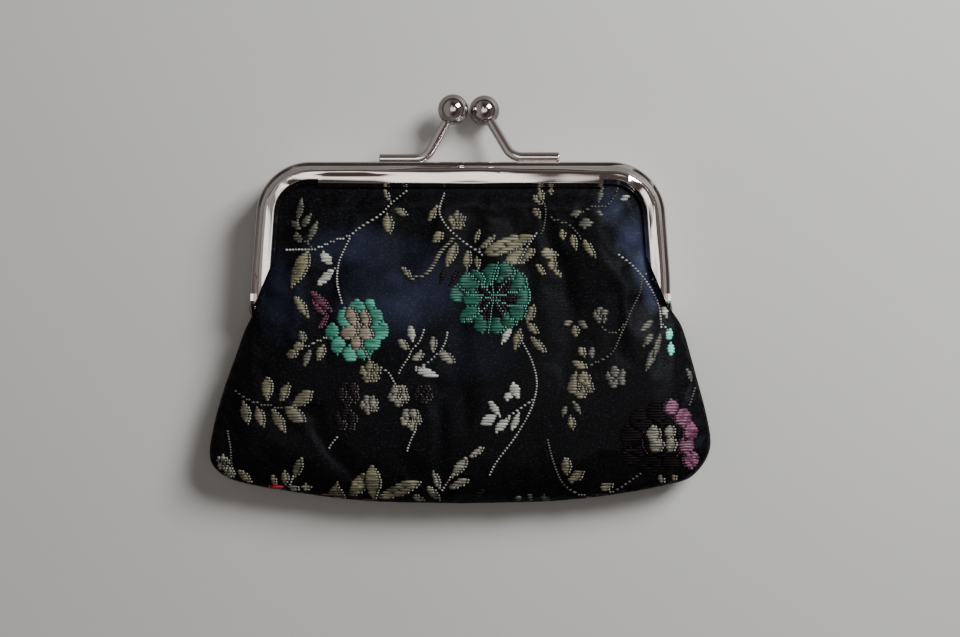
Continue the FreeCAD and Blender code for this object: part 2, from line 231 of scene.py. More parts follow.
def pressed_waves(n, swell):
    """Long soft waves in the flat outer faces, along the top bar and along the arms."""
    _, _, facing = n.parts(n.add("ShaderNodeTexCoord").outputs["Normal"])
    x, _, z = n.parts(n.coordinates())
    sideways = n.math("ABSOLUTE", x)
    outwards = n.math("ABSOLUTE", n.math("SUBTRACT", z, HINGE.z))
    on_arm = n.spread(sideways, 0.034, 0.039)
    along_bar, along_arm = n.noise(1, 1, (42, 205, 205), 0.45), n.noise(1, 1, (205, 30, 205), 0.45)
    waves = n.add("ShaderNodeMix", {0: on_arm, 2: along_bar, 3: along_arm}).outputs[0]
    for share in (
        n.spread(n.math("ABSOLUTE", facing), 0.7, 1.0, 0.0, swell),
        n.spread(outwards, 0.002, 0.004, 0.25, 1.0),  # little on the inner flanges
        n.spread(sideways, 0.008, 0.028, 0.7, 2.1),  # more towards the corners
        n.spread(on_arm, 0, 1, 1, 0.4),  # less on the arms
    ):
        waves = n.math("MULTIPLY", waves, share)
    return waves


def lumpy(name, scale, low, high, rough, depth, **direct):
    """Solder or dry glue: lumps between two tones and two roughnesses."""
    n = Nodes(name)
    lumps = n.noise(scale, 3)
    return n.finish(n.mix(lumps, low, high), n.spread(lumps, 0.3, 0.7, *rough), lumps, depth, **direct)


# Soft patches of painted sheen, a bluish reflection painted into the ground's colour: x, y, half-width,
# half-height, strength.
PAINTED_SHEEN_PATCHES = [
    (-14, 4, 15, 12, 0.9), (-22, 12, 11, 6, 0.75), (-36, 3, 6, 11, 0.55), (2, -8, 11, 8, 0.15),
    (31, 20.5, 4.5, 5, 0.8), (34.5, 15, 4.2, 6, 1.0), (37.2, 9.5, 3.4, 6, 0.95), (39.2, 4, 3, 5.5, 0.8),
]


def brocade_ground():
    """Navy-black satin: broken weft lines, specks, and a bluish sheen painted into its colour in soft
    patches.
    """
    n = Nodes("brocade_ground")
    lines = n.bands(WAVE_UNIT / (GROUND_PITCH * MM), "Y", 1.2, 1.0, **{"Detail Scale": 3.0})
    ends = n.noise(1, 1, (1500, 3400, 1500))
    specks = n.spread(n.noise(1, 1, (2500, 3600, 2500)), 0.56, 0.72)
    cloud = n.noise(42, 3, rough=0.55)
    # painted sheen: a bluish reflection painted into the colour in soft patches; the specks show more there
    painted_sheen = n.math("MULTIPLY", painted_sheen_zones(n), n.spread(cloud, 0.36, 0.62, 0.2, 1.0))
    dark = n.mix(n.spread(cloud, 0.35, 0.7), (0.0009, 0.0009, 0.0010), (0.0024, 0.0023, 0.0026))
    body = n.mix(painted_sheen, dark, (0.0320, 0.0395, 0.0790))
    speck_share = n.math("MULTIPLY", specks, n.spread(painted_sheen, 0, 1, 0.13, 0.65))
    body = n.mix(speck_share, body, (0.058, 0.064, 0.092))
    height = n.math("ADD", n.math("MULTIPLY", lines, 0.45), n.math("MULTIPLY", ends, 0.9))
    return n.finish(body, n.spread(ends, 0.3, 0.7, 0.42, 0.60), height, 0.00003,
                    Specular_IOR_Level=0.05, Specular_Tint=(0.92, 0.95, 1.0))


def painted_sheen_zones(n):
    """The strongest of the painted-sheen patches at each spot."""
    total = None
    for x, y, half_x, half_y, strength in PAINTED_SHEEN_PATCHES:
        centre = place(x, y, FRAME_RISE)
        scale = (1 / (half_x * MM), 1 / (half_y * MM), 1 / (PATCH_HALF_DEPTH * MM))
        moved = n.coordinates(scale, [-c * k for c, k in zip(centre, scale)])
        length = n.add("ShaderNodeVectorMath", {0: moved}, operation="LENGTH").outputs["Value"]
        patch = n.spread(length, 1.0, 0.15, 0.0, strength)
        total = patch if total is None else n.math("MAXIMUM", total, patch)
    return total


def silk(name, colour, shade, lustre):
    """Lustrous floss: every float is a bundle of fine filaments with its own tone."""
    n = Nodes(name)
    tone = n.noise(1, 0, (260, 1700, 260))
    filaments = n.noise(1, 1, (300, 26000, 26000))
    patches = n.noise(130, 2)
    colour = n.mix(n.spread(tone, 0.3, 0.7), shade, colour)
    colour = n.mix(n.spread(patches, 0.42, 0.66, 0.0, 0.6), colour, shade)
    return n.finish(colour, n.spread(tone, 0.3, 0.7, 0.34, 0.50), filaments, 0.00002,
                    Specular_IOR_Level=0.55 * lustre, Sheen_Weight=0.08 * lustre, Sheen_Roughness=0.3)


def taffeta():
    n = Nodes("lining_taffeta")
    warp = n.noise(1, 1, (3400, 260, 3400))
    weft = n.noise(1, 1, (260, 3400, 3400))
    weave = n.math("MAXIMUM", warp, weft)
    colour = n.mix(n.noise(60, 3), (0.16, 0.008, 0.014), (0.26, 0.016, 0.026))
    return n.finish(colour, n.spread(weave, 0.4, 0.7, 0.62, 0.48), weave, 0.00012,
                    Specular_IOR_Level=0.25, Sheen_Weight=0.12, Sheen_Roughness=0.4)


def paper():
    n = Nodes("paper_cord")
    colour = n.mix(n.noise(1500, 3), (0.50, 0.44, 0.32), (0.68, 0.63, 0.50))
    return n.finish(colour, 0.85, n.bands(420, "DIAGONAL", 1.5, 2.0), 0.0001)


def thread(name, colour):
    n = Nodes(name)
    tone = n.mix(n.noise(700, 2), colour, [c * 1.8 for c in colour])
    return n.finish(tone, 0.7, n.bands(900, "DIAGONAL", 1.0, 1.0), 0.00004, Specular_IOR_Level=0.12)


# ---- the bag's outline ----

CHANNEL_INSET = 1.3  # frame's outside to the cloth's edge in the channel
CHANNEL_RISE = 2.6
CORNER_RADIUS = 9.7
NECK_END = 4.6  # above this the cloth's edge is in the channel
CORNER_CENTRE = (30.3, FRAME_TOP - CHANNEL_INSET - CORNER_RADIUS)


def channel_edge():
    """The cloth's edge in the channel, from the top's middle to the arm's lower end, right side."""
    top = FRAME_TOP - CHANNEL_INSET
    centre_x, centre_y = CORNER_CENTRE
    arc = [math.radians(a) for a in (90, 67, 45, 23, 2)]
    corner = [(centre_x + CORNER_RADIUS * math.cos(a), centre_y + CORNER_RADIUS * math.sin(a)) for a in arc]
    arm = [(40.35, 13), (40.9, 8), (41.15, NECK_END)]
    return [(x, y, CHANNEL_RISE) for x, y in [(0, top), (15, top)] + corner + arm]


# Below the arms: out over the hinge lugs, then the side seam, the bottom corner and the bottom.
RIGHT_EDGE = [
    (41.3, 2, 3), (42.9, -0.6, 3.5), (44.6, -3, 2.6), (45.9, -6, 0.6), (46.9, -9.4, 0),
    (48.3, -14.5, 0), (49.9, -20.5, 0), (50.9, -25.5, 0), (51, -28, 0), (50.2, -30.6, 0),
    (48.6, -32.9, 0), (46.5, -34.7, 0), (42, -36, 0), (33, -37.7, 0), (20, -39.2, 0),
]
LEFT_EDGE = [
    (41.2, 2, 3), (42.2, -1.2, 3.4), (43.8, -4.2, 2.4), (45, -7, 0.6), (46.2, -10.2, 0),
    (48.1, -15.5, 0), (49.9, -21.5, 0), (51, -26.5, 0), (51.35, -29.5, 0), (50.9, -31.6, 0),
    (49.6, -33.2, 0), (47.5, -34.6, 0), (43, -35.9, 0), (33, -37.6, 0), (20, -39.2, 0),
]
EDGE_SPACING = 0.8


def cover_edge():
    """The closed edge of one cover, clockwise from the top's middle: x, y and rise for the front."""
    right = channel_edge() + RIGHT_EDGE + [(0, BAG_BOTTOM, 0)]
    left = channel_edge() + LEFT_EDGE + [(0, BAG_BOTTOM, 0)]
    right_run = curve_through(right, EDGE_SPACING)
    left_run = curve_through(left, EDGE_SPACING) * np.array([-1, 1, 1])
    return np.concatenate([right_run, left_run[-2:0:-1]])


def shrink_edge(edge, inset):
    """The edge moved inwards in plan."""
    ahead = np.roll(edge, -1, axis=0)[:, :2] - np.roll(edge, 1, axis=0)[:, :2]
    inward = np.stack([ahead[:, 1], -ahead[:, 0]], axis=1)
    inward /= np.linalg.norm(inward, axis=1)[:, None]
    moved = edge.copy()
    moved[:, :2] += inward * inset
    return moved


# ---- the bag's covers and lining ----

POUCH_ROUND = 10.0  # how far in from the seam the cloth reaches its full height
FULL_RISE = 6.15
BACK_FULL_RISE = 5.6
BACK_LINING_RISE = 5.3
BOTTOM_THINNING = 1.1
POUCH_CORNER = (49, -32)
PUCKER, CORNER_PUCKER = 0.05, 0.34
PUCKER_PITCH = 2.9
GRID_STEP = 0.85
CLOTH_SCALE = 10.0  # the simulation runs at ten times the real size
CLOTH_STEPS = 22
CLOTH_CAP = 1.3  # how far the simulation may move a point
HELD_STRIP = 4.2  # the cloth is held this far in from its edge under the frame
FRONT_SEED, BACK_SEED = 4, 2
FLANGE_REACH = 4.0  # how far in the frame's flange covers the cloth
SQUEEZED = 0.42  # the share of its height that the cloth reaches under the flange
FLANGE_DEPTH = 1.45  # the frame's face to the highest cloth under its flange
FLANGE_BASE = 9  # the flange covers the cloth's edge above this
MOTIF_ALLOWANCE = 0.38  # the back cover's floats fit between it and the table
PADDING_THICKNESS = 1.0
LINING_INSET = 1.35
LINING_DEPTH = 1.7  # cover's outside to lining
LINING_THICKNESS = 0.2
LINING_CLEARANCE = 0.4
LINING_CREASES = 0.9
FOLD_SLACK = 1.3  # the front lining gives this much where the purse folds open
LEAST_RISE = 0.04


def smooth_noise(x, y, size, seed):
    return noise.noise(Vector((x / size + seed * 7.3, y / size - seed * 3.1, seed * 1.7)))


def cloth_rise(points, edge, full, seed):
    """The cloth's rise over the middle plane at plan points inside the edge."""
    gap = gaps(points, edge)
    distance = gap.min(axis=1)
    nearness = 1 / (gap + 0.05) ** 4
    edge_rise = (nearness * edge[None, :, 2]).sum(axis=1) / nearness.sum(axis=1)
    y = points[:, 1]
    pouch = np.sqrt(np.clip(1 - (1 - np.clip(distance / POUCH_ROUND, 0, 1)) ** 2, 0, 1))
    under_flange = np.clip(distance / FLANGE_REACH, 0, 1)
    neck = under_flange * SQUEEZED + (1 - SQUEEZED) * smooth((distance - FLANGE_REACH) / 5)
    in_neck = smooth((y + 8) / 11)  # the pouch ends at y -8 and the neck starts at 3
    share = pouch * (1 - in_neck) + neck * in_neck
    thin = BOTTOM_THINNING * smooth((-y - 16) / 20)  # from y -16 down to -36
    waves = np.array([
        0.50 * smooth_noise(px, py, 24, seed) + 0.28 * smooth_noise(px, py * 0.6, 10, seed + 1)
        for px, py in points[:, :2]
    ])
    settled = smooth((distance - 3) / 7)
    return edge_rise + (full - thin - edge_rise) * share + waves * settled


def fill_outline(edge):
    """A triangle mesh of plan points covering the inside of the edge."""
    low, high = edge[:, :2].min(axis=0), edge[:, :2].max(axis=0)
    rows = int((high[1] - low[1]) / (GRID_STEP * 0.866)) + 1
    columns = int((high[0] - low[0]) / GRID_STEP) + 2
    grid = np.array([
        (low[0] + (i + 0.5 * (j % 2)) * GRID_STEP, low[1] + j * GRID_STEP * 0.866)
        for j in range(rows) for i in range(columns)
    ])
    inside = grid[inside_outline(grid, edge)]
    inside = inside[gaps(inside, edge).min(axis=1) > 0.55 * GRID_STEP]
    points = [Vector(p) for p in edge[:, :2]] + [Vector(p) for p in inside]
    border = [(i, (i + 1) % len(edge)) for i in range(len(edge))]
    plan, _, faces, *_ = geometry.delaunay_2d_cdt(points, border, [], 1, 1e-6)
    return np.array([tuple(p) for p in plan]), [tuple(f) for f in faces]


def inside_outline(points, edge):
    """Which plan points are inside the closed edge."""
    x, y = points[:, 0], points[:, 1]
    inside = np.zeros(len(points), bool)
    for (ax, ay), (bx, by) in zip(edge[:, :2], np.roll(edge, -1, axis=0)[:, :2]):
        if ay == by:
            continue
        crosses = (ay > y) != (by > y)
        inside ^= crosses & (x < ax + (y - ay) * (bx - ax) / (by - ay))
    return inside


def cover_shape(side, edge, full, seed):
    """A cover's outer surface as design points and faces. The first points are its edge."""
    plan, faces = fill_outline(edge)
    count = len(edge)
    rise = np.concatenate([edge[:, 2], cloth_rise(plan[count:], edge, full, seed)])
    rise += seam_puckers(plan, edge, count)
    if side == BACK:
        rise = -rise
    points = np.column_stack([plan, rise])
    return points, [f if side == FRONT else f[::-1] for f in faces], count


def seam_puckers(plan, edge, count):
    """Small radial gathers along the seam, deeper round the two bottom corners."""
    gap = gaps(plan, edge)
    nearest, distance = gap.argmin(axis=1), gap.min(axis=1)
    along = nearest * EDGE_SPACING
    at = edge[nearest]
    corner_x, corner_y = POUCH_CORNER
    off_corner = ((np.abs(at[:, 0]) - corner_x) / 4.5) ** 2 + ((at[:, 1] - corner_y) / 4.5) ** 2
    corner = np.exp(-off_corner)
    depth = (PUCKER + CORNER_PUCKER * corner) * smooth((-at[:, 1] - 6) / 4)
    gathers = np.sin(along * 2 * math.pi / PUCKER_PITCH + 1.3 * np.sin(along * 0.37))
    reach = np.exp(-((distance - 1.6) / (1.6 + 2.2 * corner)) ** 2)
    return depth * gathers * reach * (np.arange(len(plan)) >= count)


def settle_cloth(points, faces, pinned):
    """The cover relaxed by cloth simulation, with its edge and the strip under the frame held."""
    vertices = [Vector((x, y, r)) * MM * CLOTH_SCALE for x, y, r in points]
    obj = add_mesh("cloth_run", vertices, faces)
    group = obj.vertex_groups.new(name="held")
    for i, hold in enumerate(pinned):
        if hold > 0:
            group.add([i], float(hold), "REPLACE")
    cloth = obj.modifiers.new("cloth", "CLOTH").settings
    cloth.vertex_group_mass = "held"
    cloth.quality = 6
    cloth.mass = 0.25
    cloth.tension_stiffness = cloth.compression_stiffness = 12
    cloth.shear_stiffness = 6
    cloth.bending_stiffness = 0.6
    cloth.use_pressure = True
    cloth.uniform_pressure_force = 0.35
    cloth.shrink_min = -0.022
    cloth.effector_weights.gravity = 0.0
    obj.modifiers["cloth"].collision_settings.use_collision = False
    scene = bpy.context.scene
    for step in range(1, CLOTH_STEPS + 1):
        scene.frame_set(step)
    shape = obj.evaluated_get(bpy.context.evaluated_depsgraph_get())
    moved = np.array([tuple(v.co) for v in shape.data.vertices]) / MM / CLOTH_SCALE
    scene.frame_set(1)
    bpy.data.objects.remove(obj)
    return points + np.clip(moved - points, -CLOTH_CAP, CLOTH_CAP)


def held_strength(points, edge, count):
    """1 where the cloth is held: its edge, and where it passes under the frame's flange."""
    distance = gaps(points, edge).min(axis=1)
    under_frame = smooth((points[:, 1] - 3) / 6) * (1 - smooth((distance - HELD_STRIP) / 1.5))
    held = np.maximum(under_frame, np.exp(-(distance / 0.6) ** 2))
    held[:count] = 1
    return held


def build_cover(name, side, material):
    """One padded brocade cover. Returns the object and a lookup of its outer surface."""
    edge = cover_edge()
    full, seed = (FULL_RISE, FRONT_SEED) if side == FRONT else (BACK_FULL_RISE, BACK_SEED)
    points, faces, count = cover_shape(side, edge, full, seed)
    points = settle_cloth(points, faces, held_strength(points, edge, count))
    limit_cloth(points, edge, side)
    surface = new_piece(name, [place(*p) for p in points], faces, material)
    tree = BVHTree.FromObject(surface, bpy.context.evaluated_depsgraph_get())
    thicken(surface, PADDING_THICKNESS)
    return surface, tree


def limit_cloth(points, edge, side):
    """Keeps the cloth off the table, and under the flange where the frame covers it."""
    distance = gaps(points, edge).min(axis=1)
    if side == BACK:
        points[:, 2] = np.maximum(points[:, 2], TABLE_RISE + MOTIF_ALLOWANCE)
    covered = (points[:, 1] > FLANGE_BASE) & (distance < FLANGE_REACH)
    points[covered, 2] = side * np.minimum(side * points[covered, 2], FRAME_RISE - FLANGE_DEPTH)


def thicken(obj, thickness):
    """Gives an open surface its thickness, inwards."""
    solidify = obj.modifiers.new("thickness", "SOLIDIFY")
    solidify.thickness = thickness * MM
    solidify.offset = -1.0
    solid = obj.evaluated_get(bpy.context.evaluated_depsgraph_get())
    mesh = bpy.data.meshes.new_from_object(solid)
    obj.modifiers.clear()
    obj.data = mesh


def build_lining(name, side, material, tree):
    """The lining of one side, inside the padding. The front's is slack where the purse folds open."""
    edge = shrink_edge(cover_edge(), LINING_INSET)
    edge[:, 2] = np.maximum(edge[:, 2] - LINING_INSET, LEAST_RISE)
    full = (FULL_RISE if side == FRONT else BACK_LINING_RISE) - LINING_DEPTH
    points, faces, count = cover_shape(side, edge, full, 9 + side)
    for i in range(count, len(points)):
        x, y, rise = points[i]
        rise *= side
        rise -= LINING_CREASES * abs(smooth_noise(x, y * 0.4, 5, 21 + side)) * smooth((rise - 1.5) / 2)
        if side == FRONT:
            rise -= FOLD_SLACK * math.exp(-((y - 2) / 7) ** 2) * smooth((rise - 1.5) / 2)
        seat = on_cloth(tree, x, y, side)
        if seat:
            rise = min(rise, abs(seat[0].z - HINGE.z) / MM - PADDING_THICKNESS - LINING_CLEARANCE)
        points[i, 2] = side * max(rise, LEAST_RISE)
    lining = new_piece(name, [place(*p) for p in points], faces, material)
    thicken(lining, LINING_THICKNESS)
    return lining


# ---- the woven motif ----

WEFT_PITCH = 0.54  # spacing of the motif's weft rows
STRAND_HALF_WIDTH = 0.41  # neighbouring rows press into one another
BEAD_HALF_WIDTH = 0.23
STRAND_HALF_HEIGHT = 0.115
BEAD_HALF_HEIGHT = 0.15
END_SCATTER = 0.12  # how unevenly a shape's floats end
STRAND_SIDES = 6
RING_SPACING = 0.45
STRAND_END_SIZE = 0.42
STRAND_SUNK = 0.05  # a strand's ends are this far into the cloth
LONGEST_FLOAT = 4.8
FLOAT_GAP = 0.03
SHORTEST_FLOAT = 0.24
# beads: short floats of another yarn at the floats' ends; lighter ones are also painted highlights
BEAD_LENGTH = 0.40
STEM_WIDTH = 0.52
STEM_STEP = 0.62  # a stem's floats are at most about twice this many widths long
LEAF_GROWTH = 0.24  # added to every leaf's width
HEAD_LOBES = 5
LEAF_FULLEST = 0.45  # where along its length a leaf is widest
LEAST_WIDTH = 0.35  # the narrowest that a row of a shape gets
EDGE_MARGIN = 0.25  # floats end this far from the seam
COVERED_MARGIN = 3.2  # and this far from the cloth's edge under the frame
COVERED_FROM = 6  # the frame covers the edge above this


def leaf(x0, y0, x1, y1, width):
    """A pointed leaf or petal from one tip to the other."""
    start, end = np.array((x0, y0)), np.array((x1, y1))
    along = end - start
    across = np.array((-along[1], along[0])) / np.linalg.norm(along)
    t = np.linspace(0, 1, 11)
    skewed = t ** (math.log(0.5) / math.log(LEAF_FULLEST))
    bulge = np.sin(math.pi * skewed) ** 0.8 * (width + LEAF_GROWTH) / 2
    spine = start + along * t[:, None]
    return np.concatenate([spine + across * bulge[:, None], (spine - across * bulge[:, None])[-2:0:-1]])


def lobe(x, y, half_x, half_y, turn=0.0):
    """A rounded petal."""
    angles = np.linspace(0, 2 * math.pi, 20, endpoint=False)
    c, s = math.cos(math.radians(turn)), math.sin(math.radians(turn))
    px, py = half_x * np.cos(angles), half_y * np.sin(angles)
    return np.column_stack([x + px * c - py * s, y + px * s + py * c])


def blossom(x, y, radius):
    """A small round flower head of a few lobes, turned its own way."""
    spots = [math.radians(30 * (x + y) + 360 * k / HEAD_LOBES) for k in range(HEAD_LOBES)]
    reach, size = radius * 0.55, radius * 0.52
    return [lobe(x + reach * math.cos(a), y + reach * math.sin(a), size, size * 0.95) for a in spots]


def row_spans(outline, y):
    """Where a weft row at y crosses the outline, as pairs of x."""
    crossings = []
    for (ax, ay), (bx, by) in zip(outline, np.roll(outline, -1, axis=0)):
        if (ay > y) != (by > y):
            crossings.append(ax + (y - ay) * (bx - ax) / (by - ay))
    crossings.sort()
    return list(zip(crossings[::2], crossings[1::2]))


class Weft:
    """The weft rows of one cover. The first shape to claim a stretch of a row has it."""

    def __init__(self):
        self.taken = {}
        self.floats = {}

    def claim(self, row, low, high, colour, width=STRAND_HALF_WIDTH):
        """Lays floats on the free parts of a stretch. Long ones are caught down, staggered by row."""
        pieces = [(low, high)]
        for a, b in self.taken.get(row, []):
            cut = []
            for p, q in pieces:
                cut += [(p, min(q, a)), (max(p, b), q)]
            pieces = [(p, q) for p, q in cut if q - p > SHORTEST_FLOAT]
        for p, q in pieces:
            self.taken.setdefault(row, []).append((p - FLOAT_GAP, q + FLOAT_GAP))
            parts = math.ceil((q - p) / LONGEST_FLOAT)
            offset = 0.5 * (row % 3 - 1)
            stops = [p] + [p + (q - p) * k / parts + offset for k in range(1, parts)] + [q]
            for a, b in zip(stops, stops[1:]):
                self.floats.setdefault(colour, []).append((a, b, row * WEFT_PITCH, width))

    def fill(self, outline, colour, bead=None, beads="right"):
        """Fills an outline with floats, with a bead of another yarn at their ends. A lighter bead is also a
        painted highlight where the floats dive, by default at their right-hand ends.
        """
        low, high = outline[:, 1].min(), outline[:, 1].max()
        for row in range(math.ceil(low / WEFT_PITCH), math.floor(high / WEFT_PITCH) + 1):
            for a, b in row_spans(outline, row * WEFT_PITCH):
                a += random.uniform(-END_SCATTER, END_SCATTER)
                b += random.uniform(-END_SCATTER, END_SCATTER)
                a, b = min(a, b - LEAST_WIDTH), max(b, a + LEAST_WIDTH)
                # the beads: another yarn at the floats' ends; lighter ones, mostly at the right-hand ends,
                # are also painted highlights
                if bead and b - a > 2.5 * BEAD_LENGTH:
                    if beads in ("right", "both"):
                        self.claim(row, b - BEAD_LENGTH, b, bead, BEAD_HALF_WIDTH)
                        b -= BEAD_LENGTH
                    if beads in ("left", "both"):
                        self.claim(row, a, a + BEAD_LENGTH, bead, BEAD_HALF_WIDTH)
                        a += BEAD_LENGTH
                self.claim(row, a, b, colour)

    def stem(self, points, colour, width=STEM_WIDTH):
        """A line of short floats along the rows that the stem crosses."""
        run = curve_through(points, 0.12)
        rows = np.round(run[:, 1] / WEFT_PITCH).astype(int)
        start = 0
        for i in range(1, len(run) + 1):
            if i == len(run) or rows[i] != rows[start]:
                xs = run[start:i, 0]
                middle, half = (xs.min() + xs.max()) / 2, max((xs.max() - xs.min()) / 2, width / 2)
                parts = max(1, round(half / (STEM_STEP * width)))
                stops = np.linspace(middle - half, middle + half, parts + 1)
                for low, high in zip(stops, stops[1:]):
                    self.claim(int(rows[start]), low + FLOAT_GAP, high - FLOAT_GAP, colour, BEAD_HALF_WIDTH)
                start = i


def strand_mesh(floats, tree, side, edge):
    """Closed strands that arch over the cloth between the points where they dive in."""
    vertices, faces = [], []
    for low, high, y, half_width in floats:
        low, high = clear_of_edge(low, high, y, edge)
        if high - low < SHORTEST_FLOAT:
            continue
        count = max(4, math.ceil((high - low) / RING_SPACING) + 1)
        seat = [on_cloth(tree, x, y, side) for x in np.linspace(low, high, count)]
        if None in seat:
            continue
        first = len(vertices)
        width = half_width * random.uniform(0.88, 1.08)
        height = STRAND_HALF_HEIGHT if half_width > BEAD_HALF_WIDTH else BEAD_HALF_HEIGHT
        height *= random.uniform(0.85, 1.15)
        tilt = random.uniform(-0.05, 0.05)
        for i, (point, normal) in enumerate(seat):
            t = i / (count - 1)
            arch = math.sin(math.pi * t) ** 0.45 if 0 < t < 1 else 0.0
            size = STRAND_END_SIZE + (1 - STRAND_END_SIZE) * arch
            across = normal.cross(Vector((1, 0, 0))).normalized()
            centre = point + normal * MM * (height * 1.35 * arch - STRAND_SUNK)
            centre += across * MM * tilt * (2 * t - 1)
            vertices += ring(centre, across * width * size * MM, normal * height * size * MM, 0.5)
        faces += tube_faces(first, count)
    return vertices, faces


def ring(centre, out, up, turn):
    """One ring of points of a strand or a stitch."""
    angles = [2 * math.pi * (k + turn) / STRAND_SIDES for k in range(STRAND_SIDES)]
    return [centre + out * math.cos(a) + up * math.sin(a) for a in angles]


def tube_faces(first, rings):
    """The faces of a closed tube of rings, from the first ring's first point."""
    faces = []
    for i in range(first, first + (rings - 1) * STRAND_SIDES, STRAND_SIDES):
        for k in range(STRAND_SIDES):
            a, b = i + k, i + (k + 1) % STRAND_SIDES
            faces.append((a, b, b + STRAND_SIDES, a + STRAND_SIDES))
    last = first + (rings - 1) * STRAND_SIDES
    return faces + [range(first + STRAND_SIDES - 1, first - 1, -1), range(last, last + STRAND_SIDES)]


def on_cloth(tree, x, y, side):
    """The point and normal of a cover's outside over a design point."""
    start = place(x, y, side * 30)
    point, normal, *_ = tree.ray_cast(start, Vector((0, 0, -side)))
    if point is None:
        return None
    return point, normal if normal.z * side > 0 else -normal


def clear_of_edge(low, high, y, edge):
    """The longest part of a float that keeps clear of the seam and of the frame's flange."""
    xs = np.linspace(low, high, max(2, math.ceil((high - low) / 0.15) + 1))
    spots = np.column_stack([xs, np.full(len(xs), y)])
    margin = COVERED_MARGIN if y > COVERED_FROM else EDGE_MARGIN
    free = (gaps(spots, edge).min(axis=1) > margin) & inside_outline(spots, edge)
    best, start = (0, 0), None
    for i, good in enumerate(list(free) + [False]):
        if good and start is None:
            start = i
        if not good and start is not None:
            best = max(best, (start, i - 1), key=lambda run: run[1] - run[0])
            start = None
    return xs[best[0]], xs[best[1]]


# ---- the motif's layout: millimetres from the middle of the purse, as the front is seen ----

